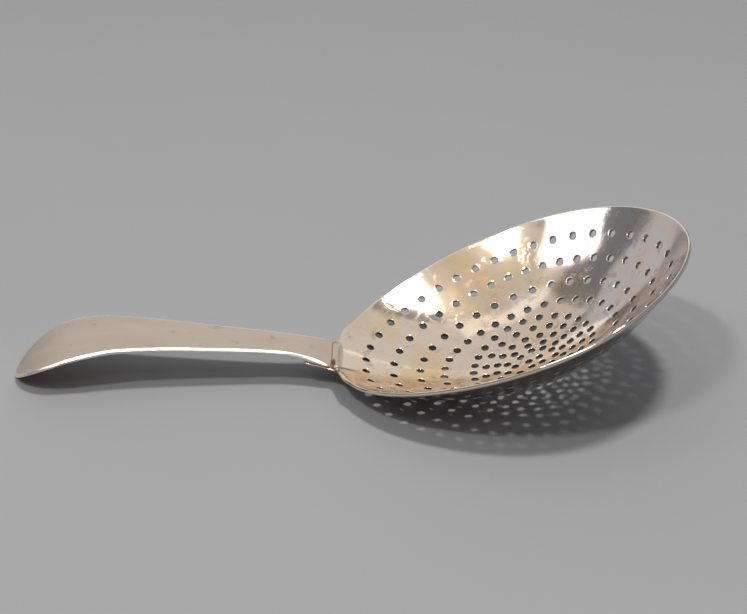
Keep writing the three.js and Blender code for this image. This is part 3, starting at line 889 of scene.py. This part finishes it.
def solder_silver(look):
    """Silver solder wiped flush: the strap's grey silver, a faint darker seam along the strap's
    end, and a brown pit at its near side."""
    material, tree, shader, coords = new_material("wiped_silver_solder")
    spots = patches(tree, coords, 420.0, 0.45, 0.75)
    colour = blend(tree, maths(tree, "MULTIPLY", spots, 0.5), rgba(look.handle), rgba(look.rose))
    across = node(tree, "ShaderNodeSeparateXYZ", {0: coords}).outputs["X"]
    off = maths(tree, "ABSOLUTE", maths(tree, "SUBTRACT", across, SEAM_X))
    seam = maths(tree, "SUBTRACT", 1.0, ramp_between(tree, off, 0.05 * MM, 0.3 * MM))
    colour = blend(tree, maths(tree, "MULTIPLY", seam, 0.6), colour, rgba(look.solder))
    pit = patch_about(tree, coords, PIT_PLACE, PIT_REACH)
    colour = blend(tree, pit, colour, rgba(look.pit))
    rough = maths(tree, "ADD", maths(tree, "MULTIPLY_ADD", spots, 0.1, 0.4),
                  maths(tree, "MULTIPLY", pit, 0.2))
    height = maths(tree, "SUBTRACT", maths(tree, "MULTIPLY", spots, 0.25), pit)
    enter_metal(tree, shader, colour, rough, bump(tree, 0.3, 0.12 * MM, height))
    return material


def table_material(look):
    """Plain pale table with a very slight, even mottling."""
    material, tree, shader, coords = new_material("plain_pale_table")
    cloud = node(tree, "ShaderNodeTexNoise", {"Vector": coords, "Scale": 18.0, "Detail": 6.0})
    tint = maths(tree, "MULTIPLY", cloud.outputs["Fac"], 0.5)
    colour = blend(tree, tint, rgba(look.table), rgba([0.9 * c for c in look.table]))
    tree.links.new(colour, shader.inputs["Base Color"])
    shader.inputs["Roughness"].default_value = 0.75
    return material


# ---------------- settings

def length(name, text, value):
    return bpy.props.FloatProperty(name=name, description=text, default=value, unit="LENGTH",
                                   min=0.0, precision=5)


def colour(name, text, value):
    return bpy.props.FloatVectorProperty(name=name, description=text, default=value, size=3,
                                         subtype="COLOR", min=0.0, max=1.0)


def share(name, text, value):
    return bpy.props.FloatProperty(name=name, description=text, default=value, min=0.0, max=1.0,
                                   subtype="FACTOR")


class StrainerSizes(bpy.types.PropertyGroup):
    """Sizes of the strainer's metal."""
    half_length: length("Rim half length", "From the middle of the rim to its far end", 47.5 * MM)
    half_width: length("Rim half width", "From the middle of the rim to its side", 38.8 * MM)
    depth: length("Bowl depth", "From the plane of the rim to the inside of the bowl", 20.2 * MM)
    sheet: length("Bowl sheet", "Thickness of the bowl's sheet", 1.0 * MM)
    hole: length("Hole", "Diameter of a punched hole", 2.0 * MM)
    lip: length("Lip", "Rounding of a hole's lip", 0.16 * MM)
    strap: length("Strap", "Thickness of the handle's strap", 1.2 * MM)
    crease: length("Crease", "Depth of the faint cross creases of the handle", 0.03 * MM)


class StrainerFinish(bpy.types.PropertyGroup):
    """Colours and gloss of the strainer and the table."""
    silver: colour("Silver", "Bowl's silver near the neck", (0.84, 0.70, 0.56))
    # Painted cool reflection toward the far end of the bowl.
    far_end_cool_reflection: colour("Cool silver", "Bowl's silver toward the far end", (0.72, 0.66, 0.64))
    straw: colour("Straw", "Straw toning", (0.84, 0.60, 0.34))
    # Partly toning, partly a painted warm reflection.
    gold_toning_and_reflection: colour("Gold", "Golden patch high on the bowl's far wall", (0.90, 0.64, 0.32))
    rose: colour("Rose", "Pink toning", (0.68, 0.50, 0.40))
    # In the hole walls this brown is painted shade.
    grime: colour("Grime", "Brown in holes and pits", (0.20, 0.13, 0.09))
    # Rubbed edges, also a painted highlight.
    bright: colour("Bright", "Rubbed edges", (0.93, 0.89, 0.82))
    handle: colour("Handle", "Handle's satin silver", (0.62, 0.54, 0.45))
    handle_dark: colour("Handle toning", "Darker toning of the handle", (0.54, 0.45, 0.36))
    solder: colour("Solder", "Seam of the solder", (0.36, 0.27, 0.20))
    pit: colour("Pit", "Brown pit at the near side of the seam", (0.16, 0.08, 0.05))
    # Painted shade on the outside of the bowl.
    back: colour("Back", "Toned outside of the bowl", (0.34, 0.29, 0.25))
    table: colour("Table", "Plain table", (0.25, 0.25, 0.258))
    bowl_gloss: share("Bowl roughness", "Roughness of the polished bowl", 0.09)
    handle_gloss: share("Handle roughness", "Roughness of the satin handle", 0.34)


# ---------------- operators

def add_piece(context, make, finish, replaced):
    """Make one piece from the scene's settings, give it its finish, and enter it in the frame."""
    piece = make(context.scene.strainer_sizes)
    piece.data.materials.append(finish(context.scene.strainer_finish))
    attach(piece, "root")
    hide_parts(replaced)
    return {"FINISHED"}


class STRAINER_OT_bowl(bpy.types.Operator):
    """Make the pierced bowl with its tab"""
    bl_idname = "strainer.bowl"
    bl_label = "Pierced bowl"

    def execute(self, context):
        return add_piece(context, make_bowl, bowl_silver, "bowl")


class STRAINER_OT_handle(bpy.types.Operator):
    """Make the strap handle"""
    bl_idname = "strainer.handle"
    bl_label = "Strap handle"

    def execute(self, context):
        return add_piece(context, make_handle, handle_silver, "handle")


class STRAINER_OT_solder(bpy.types.Operator):
    """Make the solder between the handle and the bowl's tab"""
    bl_idname = "strainer.solder"
    bl_label = "Solder"

    def execute(self, context):
        return add_piece(context, make_solder, solder_silver, "solder_seam")


# The stage. The camera's axes are its right, up and back directions.
CAMERA_PLACE = (0.015707, -0.407893, 0.239578)
CAMERA_AXES = ((0.99979, 0.02062, 0.0), (-0.00975, 0.47262, 0.88121), (0.01817, -0.88102, 0.47272))
CAMERA_LENS = 86.84
CAMERA_SENSOR = 36.0
TABLE_REACH = 6.0
SKY_COLOUR = (0.92, 0.95, 1.0, 1.0)
SKY_STRENGTH = 0.23
LIGHT_AIM = (0.04, 0.0, 0.01)
WARM_WHITE = (1.0, 0.98, 0.95)
WHITE = (1.0, 1.0, 1.0)
# Name, place, size in metres, roll in degrees, power in watts, and tint.
LIGHTS = (
    ("key", (0.17, -0.13, 1.2), (0.11, 0.15), 0, 9.5, WARM_WHITE),
    ("second", (-0.44, -0.61, 1.2), (0.18, 0.07), 0, 7.5, WARM_WHITE),
    ("window", (-1.03, -0.16, 0.92), (0.80, 0.36), 45, 2.0, WHITE),
    ("ceiling", (-0.08, 0.69, 1.18), (2.0, 1.22), 0, 3.5, WHITE),
    ("left_ceiling", (-0.42, -0.2, 1.34), (1.0, 1.1), 0, 1.4, WARM_WHITE),
    ("left_fill", (-0.95, 1.0, 0.35), (0.9, 0.7), 0, 0.7, WHITE),
    ("front_strip", (-0.1, -0.92, 1.12), (0.75, 0.16), 0, 1.6, WHITE),
    ("back_panel", (0.0, 2.2, 1.0), (3.0, 0.95), 0, 4.6, WARM_WHITE),
)


def add_light(name, place, size, roll, power, tint):
    """A rectangular panel at a place, facing LIGHT_AIM, rolled about its own axis."""
    light = bpy.data.lights.new(name, "AREA")
    light.shape = "RECTANGLE"
    light.size, light.size_y = size
    light.energy = power
    light.color = tint
    lamp = bpy.data.objects.new(name, light)
    bpy.context.scene.collection.objects.link(lamp)
    lamp.location = place
    toward = (Vector(LIGHT_AIM) - Vector(place)).to_track_quat("-Z", "Y").to_matrix()
    lamp.rotation_euler = (toward @ Matrix.Rotation(math.radians(roll), 3, "Z")).to_euler()


class STRAINER_OT_stage(bpy.types.Operator):
    """Make the table, the lights and the camera"""
    bl_idname = "strainer.stage"
    bl_label = "Table, lights and camera"

    def execute(self, context):
        scene = context.scene
        mesh = bpy.data.meshes.new("table")
        corners = TABLE_REACH * np.array([(-1, -1, 0), (1, -1, 0), (1, 1, 0), (-1, 1, 0)])
        mesh.from_pydata(corners.tolist(), [], [(0, 1, 2, 3)])
        table = bpy.data.objects.new("table", mesh)
        table.data.materials.append(table_material(scene.strainer_finish))
        scene.collection.objects.link(table)
        world = bpy.data.worlds.new("studio")
        world.use_nodes = True
        sky = world.node_tree.nodes["Background"].inputs
        sky["Color"].default_value = SKY_COLOUR
        sky["Strength"].default_value = SKY_STRENGTH
        scene.world = world
        for light in LIGHTS:
            add_light(*light)
        camera = bpy.data.cameras.new("camera")
        camera.sensor_fit = "HORIZONTAL"
        camera.sensor_width = CAMERA_SENSOR
        camera.lens = CAMERA_LENS
        camera.clip_start = 0.01
        eye = bpy.data.objects.new("camera", camera)
        scene.collection.objects.link(eye)
        turn = Matrix(CAMERA_AXES).transposed().to_4x4()
        eye.matrix_world = Matrix.Translation(CAMERA_PLACE) @ turn
        scene.camera = eye
        scene.view_settings.view_transform = "Standard"
        return {"FINISHED"}


class STRAINER_PT_panel(bpy.types.Panel):
    """Lists what makes the strainer"""
    bl_label = "Strainer"
    bl_idname = "STRAINER_PT_panel"
    bl_space_type = "VIEW_3D"
    bl_region_type = "UI"
    bl_category = "Strainer"

    def draw(self, context):
        for operator in OPERATORS:
            self.layout.operator(operator.bl_idname)
        for group in (context.scene.strainer_sizes, context.scene.strainer_finish):
            for key in group.bl_rna.properties.keys():
                if key not in ("rna_type", "name"):
                    self.layout.prop(group, key)


OPERATORS = (STRAINER_OT_bowl, STRAINER_OT_handle, STRAINER_OT_solder, STRAINER_OT_stage)
CLASSES = (StrainerSizes, StrainerFinish, *OPERATORS, STRAINER_PT_panel)


def register():
    for item in CLASSES:
        bpy.utils.register_class(item)
    bpy.types.Scene.strainer_sizes = bpy.props.PointerProperty(type=StrainerSizes)
    bpy.types.Scene.strainer_finish = bpy.props.PointerProperty(type=StrainerFinish)


def unregister():
    del bpy.types.Scene.strainer_finish
    del bpy.types.Scene.strainer_sizes
    for item in reversed(CLASSES):
        bpy.utils.unregister_class(item)


def main():
    register()
    bpy.ops.strainer.bowl()
    bpy.ops.strainer.handle()
    bpy.ops.strainer.solder()
    bpy.ops.strainer.stage()


if __name__ == "__main__":
    main()
